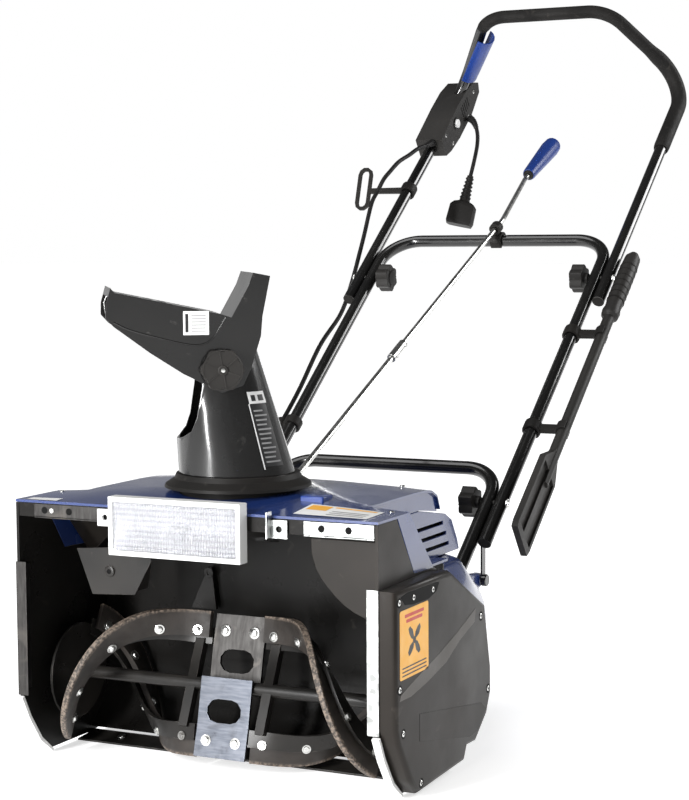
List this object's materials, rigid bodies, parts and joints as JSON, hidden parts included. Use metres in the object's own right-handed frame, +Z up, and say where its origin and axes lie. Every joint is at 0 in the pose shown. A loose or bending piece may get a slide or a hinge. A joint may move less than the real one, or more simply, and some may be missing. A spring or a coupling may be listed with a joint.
{
  "type": "single stage snowblower",
  "caption": "Walk-behind electric snow thrower with a paddle auger, crank-turned chute, tilting deflector, headlight, folding tube handle and rear wheels.",
  "frame": {"origin": "on the ground, at the middle of the scraper bar's underside", "axes": "+Z up, -Y towards the intake, +Y towards the handle, +X to the operator's left"},
  "size_m": [0.5665, 1.4197, 1.0157],
  "materials": {
    "black_shell": "satin",
    "blue_shell": "gloss",
    "chute_black": "gloss",
    "black_plastic": "satin",
    "blue_plastic": "satin",
    "white_plastic": "satin",
    "black_paint": "gloss",
    "bright_steel": "satin",
    "lamp_bezel": "polished",
    "clear_lens": "gloss",
    "motor_metal": "satin",
    "rubber": "matte",
    "tyre": "matte"
  },
  "bodies": {
    "machine": {"scoop": "black_shell", "side_plate_left": "black_shell", "side_plate_right": "black_shell", "scraper_bar": "black_paint", "edge_strip_left": "bright_steel", "edge_strip_right": "bright_steel", "wear_strip_left": "white_plastic", "wear_strip_right": "white_plastic", "top_deck": "blue_shell", "rear_shell": "blue_shell", "motor_cover": "blue_shell", "belt_cover": "black_shell", "lamp_housing": "lamp_bezel", "lamp_lens": "clear_lens", "lamp_bracket": "bright_steel", "bearing_left": "bright_steel", "bearing_right": "bright_steel", "drive_belt": "rubber", "motor": "motor_metal", "wheel_axle": "bright_steel", "lower_frame": "black_paint", "middle_frame": "black_paint", "crank_eye": "black_plastic", "cable_clip": "black_plastic", "tool_clip_upper": "black_plastic", "tool_clip_lower": "black_plastic", "motor_cable_lower": "rubber"},
    "auger": {"auger_frame": "black_paint", "centre_plate_upper": "bright_steel", "centre_plate_lower": "bright_steel", "rubber_blade_upper_left": "rubber", "rubber_blade_upper_right": "rubber", "rubber_blade_lower_left": "rubber", "rubber_blade_lower_right": "rubber", "auger_pulley": "black_plastic"},
    "motor_rotor": {"motor_rotor": "bright_steel"},
    "chute": {"chute_base": "black_plastic", "chute_tube": "chute_black"},
    "deflector": {"deflector": "chute_black"},
    "deflector_knob": {"deflector_knob": "black_plastic"},
    "crank": {"crank_rod_lower": "bright_steel", "crank_rod_upper": "bright_steel"},
    "crank_grip": {"crank_grip": "blue_plastic"},
    "upper_handle": {"upper_frame": "black_paint", "handle_grip": "rubber", "switch_box": "black_plastic", "cord_hook": "black_plastic", "motor_cable_upper": "rubber", "strain_relief": "black_plastic", "power_cord": "rubber", "plug": "rubber"},
    "switch_lever": {"switch_lever": "blue_plastic"},
    "safety_button": {"safety_button": "white_plastic"},
    "wheel_left": {"wheel_left": "tyre"},
    "wheel_right": {"wheel_right": "tyre"},
    "clean_out_tool": {"clean_out_tool": "black_plastic"},
    "knob_upper_left": {"knob_upper_left": "black_plastic"},
    "knob_upper_right": {"knob_upper_right": "black_plastic"},
    "knob_lower_left": {"knob_lower_left": "black_plastic"},
    "knob_lower_right": {"knob_lower_right": "black_plastic"}
  },
  "joints": [
    {"name": "auger_spin", "type": "hinge", "parent": "machine", "child": "auger", "pos_m": [0, -0.0375, 0.097], "axis": [1, 0, 0], "continuous": true},
    {"name": "motor_spin", "type": "hinge", "parent": "machine", "child": "motor_rotor", "pos_m": [0, 0.1175, 0.155], "axis": [1, 0, 0], "continuous": true},
    {"name": "chute_turn", "type": "hinge", "parent": "machine", "child": "chute", "pos_m": [0, -0.014, 0], "axis": [0, 0, 1], "range_deg": [-36, 144]},
    {"name": "crank_spin", "type": "hinge", "parent": "machine", "child": "crank", "pos_m": [0, 0.07, 0.302], "axis": [0, 0.9084, 0.4182], "range_deg": [-870, 222]},
    {"name": "crank_grip_spin", "type": "hinge", "parent": "crank", "child": "crank_grip", "pos_m": [-0.062, 1.1312, 0.74211], "axis": [0, 0.9084, 0.4182], "continuous": true},
    {"name": "deflector_tilt", "type": "hinge", "parent": "chute", "child": "deflector", "pos_m": [-0.02063, -0.02899, 0.4835], "axis": [0.5878, -0.809, 0], "range_deg": [0, 40]},
    {"name": "deflector_knob_turn", "type": "hinge", "parent": "deflector", "child": "deflector_knob", "pos_m": [0.01611, -0.07955, 0.4835], "axis": [0.5878, -0.809, 0], "range_deg": [0, 360]},
    {"name": "handle_fold", "type": "hinge", "parent": "machine", "child": "upper_handle", "pos_m": [0, 0.75833, 0.57173], "axis": [1, 0, 0], "range_deg": [-10, 130]},
    {"name": "switch_lever_squeeze", "type": "hinge", "parent": "upper_handle", "child": "switch_lever", "pos_m": [-0.16897, 1.13907, 0.90834], "axis": [-0.2566, -0.8629, -0.4354], "range_deg": [0, 5], "stiffness_Nm_per_rad": 2},
    {"name": "safety_button_press", "type": "slide", "parent": "upper_handle", "child": "safety_button", "axis": [-1, 0, 0], "range_m": [0, 0.004], "stiffness_N_per_m": 250},
    {"name": "wheel_left_spin", "type": "hinge", "parent": "machine", "child": "wheel_left", "pos_m": [0.15, 0.2635, 0.07], "axis": [1, 0, 0], "continuous": true},
    {"name": "wheel_right_spin", "type": "hinge", "parent": "machine", "child": "wheel_right", "pos_m": [-0.15, 0.2635, 0.07], "axis": [1, 0, 0], "continuous": true},
    {"name": "tool_release", "type": "slide", "parent": "machine", "child": "clean_out_tool", "axis": [1, 0, 0], "range_m": [0, 0.08]},
    {"name": "knob_upper_left_turn", "type": "hinge", "parent": "machine", "child": "knob_upper_left", "pos_m": [0.1715, 0.75833, 0.57173], "axis": [-1, 0, 0], "range_deg": [0, 360]},
    {"name": "knob_upper_right_turn", "type": "hinge", "parent": "machine", "child": "knob_upper_right", "pos_m": [-0.1715, 0.75833, 0.57173], "axis": [1, 0, 0], "range_deg": [0, 360]},
    {"name": "knob_lower_left_turn", "type": "hinge", "parent": "machine", "child": "knob_lower_left", "pos_m": [0.152, 0.37253, 0.27783], "axis": [-1, 0, 0], "range_deg": [0, 360]},
    {"name": "knob_lower_right_turn", "type": "hinge", "parent": "machine", "child": "knob_lower_right", "pos_m": [-0.152, 0.37253, 0.27783], "axis": [1, 0, 0], "range_deg": [0, 360]}
  ],
  "couplings": [
    {"joint": "motor_spin", "follows": "auger_spin", "ratio": 3.1667},
    {"joint": "crank_spin", "follows": "chute_turn", "ratio": -6}
  ]
}
